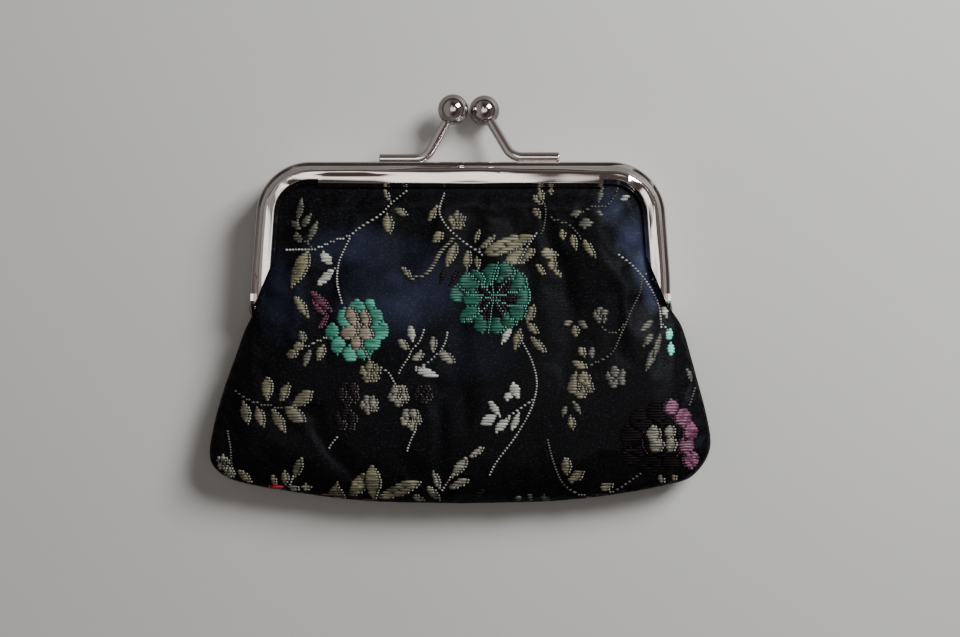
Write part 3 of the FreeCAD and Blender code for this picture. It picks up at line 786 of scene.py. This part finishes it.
# The shapes in the order in which they claim the weft rows: kind, yarn, how it is woven, and rows.
# A leaf's row is its two tips and its width. A petal's is its middle, half-width, half-height and turn.
# A head's is its middle and radius. A stem's or an outline's is the points along it.
MOTIF = [("stem", "silver", {}, [
    [(-35.5, 9.8), (-29.6, 10), (-25.5, 11.7), (-22.3, 12.7), (-20.3, 14.3), (-15.9, 17.1), (-13.8, 19.3),
     (-10.8, 21.9)],
    [(-22.3, 12.3), (-23.5, 9.8), (-24.5, 7.4), (-24.9, 3.8), (-24.5, 1.3), (-23.9, -0.7)],
    [(-25.6, 5.9), (-24.6, 6.7)],
    [(-3.3, 21.3), (-4.3, 17.5), (-3.5, 15.5), (-2.3, 13.9), (0.9, 11.2), (4.3, 9)],
    [(15.3, 13.1), (13.9, 11.2), (12.6, 9), (11.6, 7)],
    [(31.6, 9), (34.8, 6.6), (37.9, 3), (40.1, -1.3), (40.5, -5.7)], [(37.3, 5.2), (38.9, 4), (40.3, 3)],
    [(40.6, -5.2), (41.8, -6.2)],
    [(12, -8), (14.4, -12.8), (15.3, -17), (14.4, -21.5), (11.2, -27.5), (7, -33.2), (5.8, -35.6)],
    [(14.6, -20.3), (12.8, -21.5), (10.8, -22.9), (9, -24.1)],
    [(-10.2, -11.4), (-11.4, -13.2), (-12.4, -14.8)], [(-4.7, -11.2), (-6.6, -12.8), (-9.2, -14.4)],
    [(-7.4, -6.5), (-8.4, -8.8), (-10, -10.4)], [(-2.7, -7.1), (-3.2, -9), (-4.2, -10.8)],
    [(-9, -26.3), (-10, -28.4), (-10.8, -30.6)], [(-19.1, -10.6), (-18.3, -12.4)],
    [(-16.3, -13.8), (-14.6, -14.8), (-13.6, -16.4), (-12.8, -17.8)],
    [(-26.8, -7.8), (-28.8, -8.6), (-30.8, -9.6)], [(-24.7, -27.7), (-26.6, -30)],
    [(-2.1, -36.2), (-3.9, -38.9)], [(-34, -36.2), (-34.8, -37.8)],
]), ("stem", "aqua", {"width": 0.34}, [  # The veins of the jade flower.
    [(6.6, 0.3), (5.2, 1.9), (3.2, 3.8), (1.2, 5.4)], [(6.7, 0.6), (6.4, 3), (6.9, 5.4), (7.6, 7.4)],
    [(7, 0.6), (8.4, 2.6), (10.2, 4.4), (11.6, 5.6)], [(7.2, 0.4), (9.4, 1), (11.8, 1.6), (13.6, 2.8)],
    [(7.2, 0), (9.2, -1.2), (11, -1.2), (13.4, -1.4)], [(7, -0.2), (8.2, -2.2), (9.2, -3.4), (11.6, -4.9)],
    [(6.6, -0.3), (6.2, -2.4), (6, -4.4), (5.6, -6.6)],
    [(6.4, -0.2), (4.6, -2.2), (2.8, -3.6), (0.6, -4.6)], [(6.2, 0.1), (4, 0.6), (2, 0.9), (-0.6, 2.6)],
]), ("petal", "pearl", {"bead": "silver"}, [  # The hearts of the pink and the mint flower.
    (38.9, -27.3, 1.6, 1.7), (39.5, -29.5, 1.7, 1.5), (42.2, -26.9, 1.2, 1.5), (42.5, -29.4, 1.3, 1.7),
]), ("petal", "sand", {"bead": "champagne"}, [
    (-21.8, -3.6, 1.3, 1.9, 25), (-19.1, -3.9, 1.1, 1.8, 20), (-22.3, -6.8, 1.9, 1.3, 15),
    (-19.1, -7, 1.7, 1.3, -10), (-20.8, -9, 1.3, 1.6), (-20.6, -5.4, 0.9, 1.1),
]), ("petal", "plum", {"bead": "rose", "beads": "both"}, [
    (8.7, 2.5, 0.9, 2, -38), (4.6, 1.4, 1.6, 0.8, -20), (4.9, -1, 1.5, 0.8, 30), (8.2, -1.9, 0.8, 1.7, 35),
    (9.7, 0.2, 2, 0.8), (5.5, -3, 0.8, 1.5, -15),
]), ("petal", "turquoise", {}, [
    (42.1, -7.2, 0.8, 1.2), (42.4, -10.1, 0.8, 1.2),
]), ("petal", "mint", {}, [  # The petals of the large flowers.
    (-20.9, -1.9, 1.8, 1.6), (-18.3, -1.1, 1.2, 1.2), (-17.2, -3.7, 1.7, 1.7), (-16.3, -6.4, 2, 1.9),
    (-17.8, -9, 1.8, 1.7), (-19.4, -10.9, 1.6, 1.4), (-22, -11, 1.9, 1.6), (-24.7, -9.4, 1.6, 1.8),
    (-25.9, -6.7, 1.5, 1.7), (-23.4, -3.9, 1.6, 2),
]), ("petal", "jade", {"bead": "aqua"}, [
    (2.3, 3.3, 2.9, 2.3, 20), (5.6, 4.6, 1.7, 2.9, -35), (8.8, 5, 2.2, 2.4, -30), (11.2, 3.4, 2.3, 2.2, 20),
    (12.4, 0.6, 1.8, 2.4), (11.5, -2.6, 1.9, 1.8), (10, -4.2, 1.9, 1.7, 20), (7.3, -5.4, 2, 1.7),
    (4.4, -5, 2, 1.9, 20), (1.8, -3.2, 2.4, 1.6, 35), (2.6, -0.6, 2.4, 1.7, -25), (-0.4, 0.9, 2.1, 1.8),
]), ("petal", "pink", {"bead": "rose", "beads": "left"}, [
    (42.3, -21.9, 1.7, 1.6), (44.7, -24, 2.1, 1.9), (46.3, -26.9, 1.8, 1.9), (45.4, -29.6, 2, 1.8),
    (46.6, -32.6, 1.9, 1.9),
]), ("petal", "dusk", {}, [
    (39.5, -22.7, 2.4, 2.2), (36.3, -24.3, 2.6, 2.3), (34.2, -27.7, 2.3, 2.5), (34.7, -31.4, 2.5, 2.3),
    (38.2, -33.6, 2.5, 2), (42.2, -33.8, 2.4, 2),
]), ("petal", "dusk", {"bead": "rose", "beads": "both"}, [
    (41, -28.2, 4.8, 4.4),
]), ("leaf", "rose", {"bead": "pink"}, [
    (-30.6, 1.7, -25.6, -2.9, 1.7), (-30, -0.3, -26.7, -3.9, 1.4), (-26.8, -3.6, -28.8, -6.3, 1.2),
]), ("leaf", "red", {}, [
    (-39.3, -38.7, -35.4, -38.7, 1.7), (-21, -41.2, -15.5, -41.3, 0.9),
]), ("leaf", "silver", {}, [
    (-28.4, 9.2, -25.8, 7, 1.8), (-25.6, 5.8, -29, 2.6, 1.6), (32.4, 20, 34.4, 21, 1.1),
    (10.2, -17, 11.8, -20.1, 1.9), (8.4, -20.1, 11.2, -18.9, 1.3), (5.6, -20.5, 8, -23.7, 1.3),
    (3.9, -25.5, 7.4, -23.3, 1.9), (6.8, -26.9, 10, -23.7, 1.5), (10.2, -26.5, 11.8, -22.9, 1.4),
    (40.9, -1.5, 41.7, -3.7, 1.3), (10.2, -5.5, 8.2, -9.2, 1.2), (-10.2, -5.3, -9.6, -8.6, 1.5),
    (-9.6, -14, -4.3, -15.6, 1.5),
]), ("leaf", "pearl", {"bead": "champagne"}, [
    (-12.6, -8, -10.2, -10.6, 1.6), (-7.2, -10.8, -10, -12.6, 1.5), (-5.6, -7.5, -5.4, -11, 1.5),
    (-4.7, -10.8, -0.9, -12.8, 1.8), (-35.2, -38.2, -32.4, -38.5, 1.1), (-32.6, -38.2, -30, -38.3, 1),
    (-5.6, -34.8, -4.1, -38.7, 1.3), (-6.8, -38, -4.1, -40.9, 1.5), (1.5, -32, -2.1, -36.2, 1.8),
    (1.9, -36.4, -2.5, -38.2, 1.5), (-9.9, -40, -7.2, -41, 1.3), (4.9, -29.9, 1.6, -32, 1.1),
]), ("leaf", "gold", {"bead": "champagne"}, [
    (-15.7, 22.1, -14, 19.5, 1), (-13.4, 18.3, -10.4, 16.5, 1.3), (-15, 17.1, -14.2, 12.9, 2.2),
    (-30.6, 9.6, -34.2, 2.2, 3), (-33.6, 0.5, -30.4, -3.9, 1.8), (-4.3, 18.9, -6.8, 15.3, 1.3),
    (-3.5, 13.5, -5.8, 11, 1.7), (-12.2, 6.4, -9.6, 4.2, 1.1), (-0.7, 11.2, -3.1, 6.2, 1.9),
    (1.7, 9.8, 1.1, 5.8, 1.7), (3.1, 8.6, 3.7, 5.8, 1.2), (3.9, 13.9, 2.7, 11.2, 0.9),
    (7.2, 12.7, 3.5, 9.8, 1.1), (4.3, 9, 15.5, 12.9, 3), (8.8, 7.4, 15.3, 9.8, 3.2),
    (16, 9.4, 20, 8.6, 1.8), (17.7, 7.6, 19.5, 6.2, 1.8), (15, 7, 17.3, 4.6, 1.1),
    (18.7, 5.8, 20.5, 4.4, 0.9), (15.9, 22.3, 16.7, 19.3, 1.2), (14.4, 20.9, 16.7, 18.7, 1.1),
    (14.4, 18.3, 16.3, 16.3, 1.4), (18.3, 22.3, 18.1, 20.9, 0.9), (22.3, 13.1, 23.3, 9.8, 1.4),
    (24.5, 11.8, 27.4, 8, 1.5), (20.1, 13.9, 20.9, 11.8, 1.5), (15, -1.3, 13.2, -4.9, 1.7),
    (13.2, -5.1, 15.9, -6.9, 1.5), (14, -7.8, 17.5, -11, 1.5), (12, -6.3, 10.8, -10.4, 1.8),
    (23.1, -5.3, 23.3, -7.8, 1.6), (23.9, -9.6, 25.1, -11.8, 1.5), (22.3, -12.8, 25.8, -13.8, 1.3),
    (22.1, -23.5, 22.7, -26.5, 1.5), (21.1, -31.8, 21.5, -35.8, 2), (25.1, -34.8, 21.5, -37, 2),
    (28, -38.3, 31.4, -37.8, 1.6), (40.1, -36, 41.7, -37.6, 1.1), (43.1, -35.4, 43.7, -37, 1.1),
    (-32.4, -6.5, -31.2, -9, 1.4), (-35.2, -11.6, -32.4, -10.8, 1.6), (-34, -9.8, -30.8, -9.4, 1.3),
    (-27.4, -9.2, -28.8, -12.8, 1.7), (-38.9, -15.6, -38.9, -20.7, 2.4), (-34.4, -17, -36.5, -20.9, 1.9),
    (-29.6, -18.7, -34.2, -21.9, 2.5), (-43.9, -20.9, -42.7, -25.5, 2.1), (-41.1, -21.9, -39.5, -25.9, 2.1),
    (-38.1, -22.1, -35, -27.3, 1.9), (-35.4, -21.9, -31, -25.1, 2.7), (-17.9, -33.4, -17.5, -40.9, 3.3),
    (-18.2, -35, -22.7, -40.3, 3), (-7.8, -36.9, -17.1, -40.5, 2.5), (-32, -32.2, -33.8, -36.2, 1.9),
    (-35.6, -34.8, -35.6, -38, 1.6), (-38.5, -36, -37.3, -37.4, 1.3), (-45.4, -34.6, -42.2, -37.5, 1.5),
]), ("outline", "gold", {"bead": "champagne"}, [  # Two leaves that the bottom seam cuts across.
    [(-25, -36.9), (-23, -40.9), (-30.5, -40.6), (-27, -39.2)],
]), ("outline", "red", {}, [
    [(-37.6, -37), (-35.3, -40.2), (-40.8, -39.6)],
]), ("leaf", "pewter", {}, [
    (-32, 20.3, -33, 15.5, 1.3), (-34.2, 15.7, -32.2, 13.9, 1.2), (-30.2, 16.9, -32.2, 14.3, 1.2),
    (-34, 12.9, -31.6, 11.6, 1.4), (-28.9, 15.3, -30.8, 11.4, 1.4), (23.5, 14.9, 26.8, 15.3, 1.6),
    (28.6, 22.3, 27.8, 19.5, 1), (27.2, 17.7, 28.8, 16.7, 0.9), (21.9, 16.7, 24.4, 17.5, 1),
    (39.1, -4.3, 35.9, -6.7, 1.3), (38.9, -6.9, 36.5, -9.8, 1.2), (40.3, -6.9, 38.9, -12.2, 1.2),
    (39.5, -9.6, 37.1, -14.6, 1.5), (20.7, -5.3, 22.7, -4.3, 1), (23.7, -4.3, 25.6, -6.3, 1.2),
    (26.6, -9.8, 26.2, -12.2, 1.2), (21.3, -21.5, 20.5, -23.7, 1.1), (22.7, -20.9, 24.3, -23.3, 1.1),
    (46, -14.4, 47, -17, 1), (-30.2, -10.2, -31.6, -13.8, 1.2), (11, -39.9, 12.6, -41.5, 0.9),
    (13.6, -39.3, 14.6, -41.5, 1), (16.1, -40.1, 18.5, -41.1, 1.2),
]), ("leaf", "plum", {}, [
    (-3.1, 6.2, -4.1, 3.2, 0.9), (-0.3, 6.2, -2.1, 2.8, 0.9), (4.9, -38.2, 2.5, -40.7, 1.1),
]), ("head", "gold", {"bead": "champagne"}, [  # Small flower heads.
    (-18.1, -14.8, 2.2), (24.1, -17.4, 2.7), (-0.7, 15.7, 1.8),
]), ("head", "pearl", {"bead": "champagne"}, [
    (-18.3, -21.3, 1.9), (-12.4, -19.5, 2.2), (-10, -24.1, 2.2), (-48.2, -33.2, 1.5), (-47, -35.3, 1.3),
]), ("head", "pewter", {}, [
    (31.2, -15.8, 2.1), (28.2, -3.3, 1.6),
]), ("head", "plum", {"bead": "pewter"}, [
    (-22.7, -19.1, 2.5), (-23.1, -24.5, 2.5), (-7.6, -19.3, 2),
]), ("stem", "pearl", {"width": 1.25}, [
    [(-9.8, 4.2), (-7.2, 4.8), (-5.4, 7), (-4.1, 9.4), (-1.7, 11.8)],
]), ("stem", "pewter", {}, [
    [(16, 21.9), (17.1, 17.9), (16.7, 14.3), (16.1, 12.9)],
    [(18.3, 16.1), (20.1, 15.5), (22.1, 14.7), (24.1, 12.3)],
    [(31.8, 22.3), (30.6, 19.9), (29.4, 18.7), (26.2, 18.3), (23.1, 16.5)],
    [(36.5, 4.2), (36.3, 1.7), (34.2, -2.9), (32.4, -6.9), (30.4, -11), (25.8, -13.6)],
    [(28.4, -5.9), (29.8, -6.7), (31.4, -6.7), (32.8, -5.5)],
    [(-45.8, -18.7), (-42.1, -20.7), (-36.5, -21.9), (-33, -22.1)],
    [(17.5, -28.5), (18.7, -33), (20.9, -37.6), (25.1, -40), (30.6, -39.3), (37.1, -35)],
    [(47.6, -18), (46.2, -21.7)], [(-47.2, -27.1), (-46.6, -30.6), (-46.4, -35.2)],
    [(-31.8, 11.8), (-30, 10.4)],
])]
SHAPES = {
    "leaf": lambda row: [leaf(*row)],
    "petal": lambda row: [lobe(*row)],
    "head": lambda row: blossom(*row),
    "outline": lambda row: [row],
}
BACK_TURN_Y = -17.0  # on the back the motif is turned half round about half this height


def on_cover(points, side):
    """Points of the motif as a cover's design points."""
    points = np.array(points, float)
    if side == BACK:
        points = np.array((0, BACK_TURN_Y)) - points
    return points - np.array((0, HINGE.y / MM))


def lay_motif(side):
    """The floats of one cover, for each yarn."""
    weft = Weft()
    for kind, yarn, more, rows in MOTIF:
        for row in rows:
            if kind == "stem":
                weft.stem(on_cover(row, side), yarn, **more)
            else:
                for outline in SHAPES[kind](row):
                    weft.fill(on_cover(outline, side), yarn, **more)
    return weft.floats


# Each yarn's light tone, shaded tone and lustre.
YARNS = {
    "gold": ((0.15, 0.139, 0.074), (0.06, 0.056, 0.038), 0.9),
    "silver": ((0.42, 0.42, 0.385), (0.19, 0.19, 0.17), 1),
    "champagne": ((0.33, 0.32, 0.26), (0.18, 0.175, 0.14), 1),
    "pearl": ((0.19, 0.18, 0.138), (0.076, 0.072, 0.055), 1),
    "pewter": ((0.09, 0.088, 0.068), (0.044, 0.043, 0.034), 0.8),
    "jade": ((0.007, 0.082, 0.052), (0.0028, 0.032, 0.021), 0.6),
    "aqua": ((0.11, 0.36, 0.29), (0.05, 0.2, 0.16), 1),
    "mint": ((0.045, 0.26, 0.175), (0.012, 0.1, 0.067), 0.9),
    "sand": ((0.24, 0.195, 0.145), (0.11, 0.084, 0.06), 0.9),
    "rose": ((0.088, 0.02, 0.042), (0.03, 0.007, 0.015), 0.6),
    "pink": ((0.205, 0.058, 0.118), (0.06, 0.015, 0.034), 0.8),
    "plum": ((0.0105, 0.0062, 0.0072), (0.0055, 0.0034, 0.004), 0.15),
    "dusk": ((0.0062, 0.0042, 0.0047), (0.0036, 0.0026, 0.0029), 0.06),
    "turquoise": ((0.22, 0.78, 0.66), (0.07, 0.42, 0.35), 1),
    "red": ((0.36, 0.02, 0.03), (0.21, 0.011, 0.018), 0.6),
}


def build_motif(name, side, tree, silks):
    """One object for each yarn on a cover."""
    edge = cover_edge()
    pieces = []
    for colour, floats in lay_motif(side).items():
        vertices, faces = strand_mesh(floats, tree, side, edge)
        if vertices:
            pieces.append(new_piece(name + "_" + colour, vertices, faces, silks[colour]))
    return pieces


# ---- seam stitches ----

STITCH_PITCH, STITCH_LENGTH, STITCH_RADIUS = 2.1, 1.4, 0.09
STITCH_STEPS = 6  # points along the seam to one stitch and its gap
SEAM_TOP = -8.5  # the side seam ends here
OUTER_SEAM_INSET, LINING_SEAM_INSET = 0.10, 1.45


def build_stitches(name, inset, material):
    """Short stitches along the side and bottom seam."""
    edge = shrink_edge(cover_edge(), inset)
    sewn = edge[edge[:, 1] < SEAM_TOP]
    start = np.argmax(sewn[:, 0] > 0)
    run = curve_through(sewn[start:][::4], STITCH_PITCH / STITCH_STEPS)
    reach = round(STITCH_STEPS * STITCH_LENGTH / STITCH_PITCH)
    vertices, faces = [], []
    for i in range(0, len(run) - STITCH_STEPS, STITCH_STEPS):
        piece = run[i:i + reach + 1]
        first, count = len(vertices), len(piece)
        for k, (x, y, rise) in enumerate(piece):
            ahead = piece[min(k + 1, count - 1)] - piece[max(k - 1, 0)]
            along = Vector((ahead[0], ahead[1], 0)).normalized()
            out = Vector((along.y, -along.x, 0))
            size = STITCH_RADIUS * (0.55 if k in (0, count - 1) else 1.0)
            vertices += ring(place(x, y, rise), out * size * MM, Vector((0, 0, size * MM)), 0)
        faces += tube_faces(first, count)
    return new_piece(name, vertices, faces, material)


# ---- assembly ----


def dress_metal():
    """Gives every CAD node that stays visible its material."""
    finishes = {
        "frame": nickel("nickel_frame", (0.80, 0.76, 0.74), 0.05, 1.0),
        "rivet": nickel("nickel_rivet", (0.44, 0.42, 0.41), 0.24, 0.0),
        "clasp_arm": nickel("nickel_rod", (0.80, 0.77, 0.76), 0.07, 0.0),
        # painted shade: the balls' nickel is darker than the rods', standing in for the dark room that they
        # reflect
        "clasp_ball": nickel("nickel_ball_painted_shade", (0.52, 0.48, 0.48), 0.04, 0.0),
        "solder": lumpy("plated_solder", 1800, (0.55, 0.53, 0.50), (0.78, 0.77, 0.75), (0.22, 0.42),
                        0.00006, Metallic=1.0),
        "paper_cord": paper(),
        "glue": lumpy("dry_glue", 900, (0.42, 0.36, 0.22), (0.60, 0.54, 0.38), (0.25, 0.5), 0.00005),
    }
    for node, obj in frame["nodes"].items():
        for word, material in finishes.items():
            if word in node:
                obj.data.materials.clear()
                obj.data.materials.append(material)


def build_bag():
    ground = brocade_ground()
    silks = {yarn: silk("silk_" + yarn, *tones) for yarn, tones in YARNS.items()}
    lining = taffeta()
    for name, side in (("front", FRONT), ("back", BACK)):
        cover, tree = build_cover(name + "_cover", side, ground)
        inner = build_lining(name + "_lining_cloth", side, lining, tree)
        pieces = [cover, inner] + build_motif(name + "_motif", side, tree, silks)
        for piece in pieces:
            if side == FRONT:
                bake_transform(piece)
            else:
                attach(piece, "back_half")
        layers = ("brocade", "interlining")
        parts = ("_upper", "_fold", "_lower") if side == FRONT else ("",)
        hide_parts(*[name + "_" + layer + part for layer in layers for part in parts])
        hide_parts(*[name + "_lining" + part for part in parts])
    navy, red = thread("navy_thread", (0.010, 0.012, 0.022)), thread("red_thread", (0.12, 0.01, 0.015))
    outer = build_stitches("seam_stitches", OUTER_SEAM_INSET, navy)
    hidden = build_stitches("lining_stitches", LINING_SEAM_INSET, red)
    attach(outer, "back_half")
    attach(hidden, "back_half")
    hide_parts("outer_seam_thread")
    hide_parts("lining_seam_thread")


# ---- floor, light and camera ----

FLOOR_HALF = 0.8
FLOOR_DIMMING = 0.6  # painted shade: how much darker the floor is in reflections, as in a dim room


def build_floor():
    corners = [(x * FLOOR_HALF, y * FLOOR_HALF, 0.0) for x, y in ((-1, -1), (1, -1), (1, 1), (-1, 1))]
    n = Nodes("pale_floor")
    pale = n.mix(n.noise(14, 3), (0.44, 0.438, 0.42), (0.47, 0.466, 0.448))
    # painted shade: reflections see a darker floor, which gives the metal dark rims
    in_metal = n.add("ShaderNodeLightPath").outputs["Is Glossy Ray"]
    colour = n.mix(n.math("MULTIPLY", in_metal, FLOOR_DIMMING), pale, (0.02, 0.017, 0.015))
    material = n.finish(colour, 0.6, n.noise(500, 3), 0.00002)
    floor = add_mesh("floor", corners, [(0, 1, 2, 3)])
    floor.data.materials.append(material)


WINDOW_PLACE = (0.33, 0.29, 0.38)
WINDOW_SIZE = (0.22, 0.26)
WINDOW_POWER = 5.8


def build_window():
    """The one light: a soft window at the upper right."""
    data = bpy.data.lights.new("window", "AREA")
    data.shape = "RECTANGLE"
    data.size, data.size_y = WINDOW_SIZE
    data.energy = WINDOW_POWER
    data.color = (0.98, 0.985, 1.0)
    light = add_object("window", data)
    light.location = WINDOW_PLACE
    light.rotation_euler = (-Vector(WINDOW_PLACE)).to_track_quat("-Z", "Y").to_euler()


# The room by height, from the floor's level (0.5) to straight up (1).
ROOM_TONES = [
    (0.46, (0.028, 0.022, 0.020)), (0.54, (0.070, 0.056, 0.052)), (0.60, (0.22, 0.185, 0.175)),
    (0.70, (0.14, 0.115, 0.108)), (0.80, (0.060, 0.045, 0.041)), (0.87, (0.085, 0.064, 0.058)),
    (0.935, (2.0, 1.95, 1.88)),
]
ROOM_STREAKS = 2.2
SHADE = 0.40  # how much of the room's light the shadows lose
LEFT_WALL = (0.36, 0.335, 0.32)
BACKDROP = (0.40, 0.398, 0.39)  # what the camera sees past the floor


def paint_room():
    """The world: a dark room with a bright ceiling and a lit wall on the left."""
    world = bpy.data.worlds.new("room")
    world.use_nodes = True
    bpy.context.scene.world = world
    n = Graph(world.node_tree)
    direction = n.add("ShaderNodeTexCoord").outputs["Generated"]
    x, _, z = n.parts(direction)
    streaks = n.add("ShaderNodeTexNoise", {"Vector": direction, "Scale": ROOM_STREAKS, "Detail": 1.0})
    level = n.math("SUBTRACT", 0.87, n.math("DIVIDE", n.math("ARCCOSINE", z), math.pi))
    level = n.math("MULTIPLY_ADD", streaks.outputs["Fac"], 0.26, level)
    ramp = n.add("ShaderNodeValToRGB", {0: level})
    stops = ramp.color_ramp.elements
    for stop, (position, colour) in zip(stops, (ROOM_TONES[0], ROOM_TONES[-1])):
        stop.position = position
        stop.color = (*colour, 1)
    for position, colour in ROOM_TONES[1:-1]:
        stops.new(position).color = (*colour, 1)
    leftward = n.math("MULTIPLY", n.math("SUBTRACT", -0.16, x), 2.6, clamp=True)
    upward = n.math("MULTIPLY", n.math("SUBTRACT", z, 0.12), 4.0, clamp=True)
    tone = n.mix(n.math("MULTIPLY", leftward, upward), ramp.outputs["Color"], LEFT_WALL)
    path = n.add("ShaderNodeLightPath").outputs
    tone = n.mix(n.math("MULTIPLY", path["Is Diffuse Ray"], SHADE), tone, (0, 0, 0))
    tone = n.mix(path["Is Camera Ray"], tone, BACKDROP)
    n.set(n.tree.nodes["Background"], "Color", tone)


CAMERA_HEIGHT = 0.45  # above the frame's front face
VIEW_WIDTH = 193.9 * MM  # width of the view at that face
VIEW_CENTRE = (3.9, -2.0)  # design point under the camera


def build_camera():
    data = bpy.data.cameras.new("camera")
    data.sensor_width = 36.0
    data.lens = 36.0 * CAMERA_HEIGHT / VIEW_WIDTH
    camera = add_object("camera", data)
    camera.location = place(*VIEW_CENTRE, FRAME_RISE) + Vector((0, 0, CAMERA_HEIGHT))
    bpy.context.scene.camera = camera


dress_metal()
build_bag()
build_floor()
build_window()
paint_room()
build_camera()
